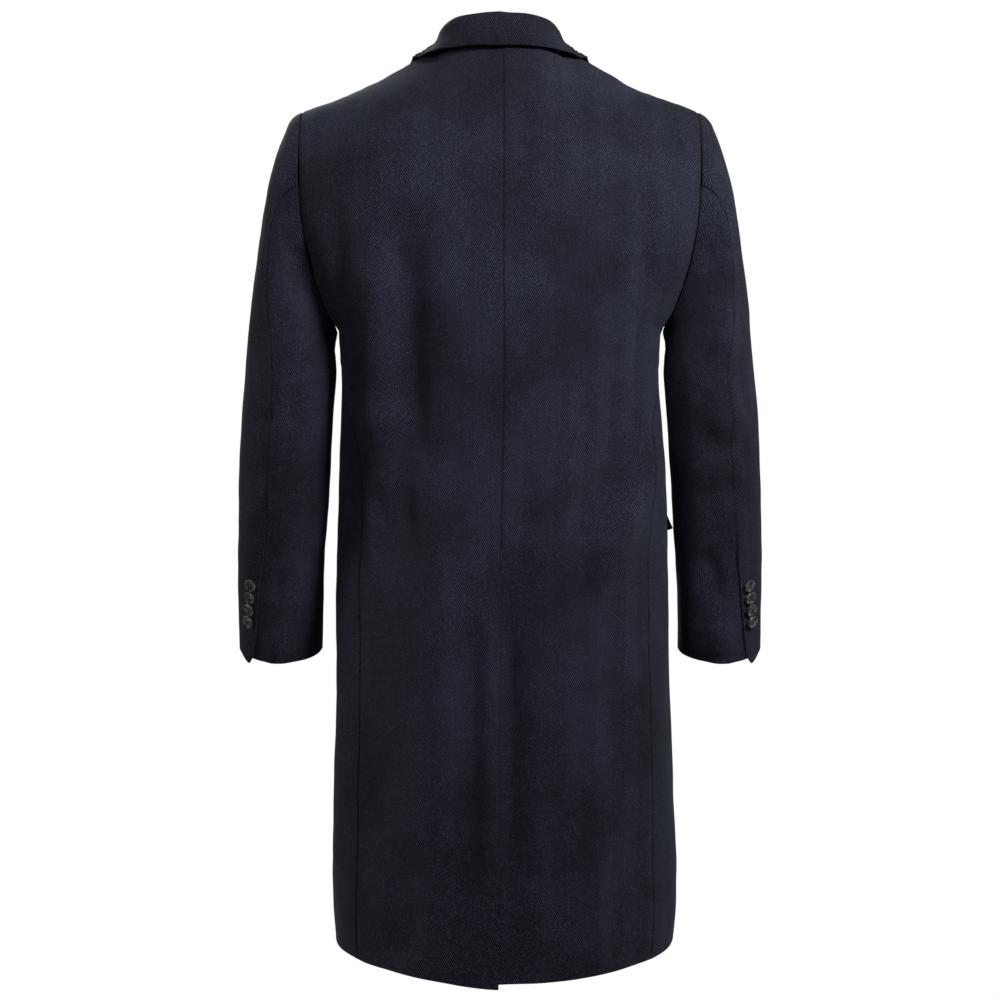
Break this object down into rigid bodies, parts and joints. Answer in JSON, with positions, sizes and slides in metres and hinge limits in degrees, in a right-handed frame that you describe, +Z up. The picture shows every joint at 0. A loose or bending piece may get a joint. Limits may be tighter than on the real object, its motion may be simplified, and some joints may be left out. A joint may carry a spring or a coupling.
{
  "type": "wool overcoat",
  "caption": "Knee-length single-breasted overcoat in herringbone wool, hollow as worn, with turned-down collar, notched lapels, set-in sleeves, flap pockets and a centre back vent.",
  "frame": {"origin": "middle of the neck opening, on the line between the neck ends of the two shoulder seams", "axes": "+Z up, towards the collar; +Y towards the back; +X towards the wearer's left"},
  "size_m": [0.6192, 0.3376, 1.09],
  "materials": {
    "overcoat_cloth": "fulled herringbone wool, matt with a short soft nap",
    "undercollar_cloth": "wool undercollar, matt",
    "horn_button": "dark mottled horn, polished rim, four holes"
  },
  "bodies": {
    "root": {"back_left": "overcoat_cloth", "back_right": "overcoat_cloth", "front_left": "overcoat_cloth", "front_right": "overcoat_cloth", "top_sleeve_left": "overcoat_cloth", "top_sleeve_right": "overcoat_cloth", "under_sleeve_left": "overcoat_cloth", "under_sleeve_right": "overcoat_cloth", "collar_stand": "undercollar_cloth", "collar_fall": "overcoat_cloth", "lapel_left": "overcoat_cloth", "lapel_right": "overcoat_cloth", "pocket_flap_left": "overcoat_cloth", "pocket_flap_right": "overcoat_cloth", "cuff_button_left_1": "horn_button", "cuff_button_left_2": "horn_button", "cuff_button_left_3": "horn_button", "cuff_button_left_4": "horn_button", "cuff_button_right_1": "horn_button", "cuff_button_right_2": "horn_button", "cuff_button_right_3": "horn_button", "cuff_button_right_4": "horn_button", "front_button_1": "horn_button", "front_button_2": "horn_button", "front_button_3": "horn_button"}
  },
  "joints": []
}
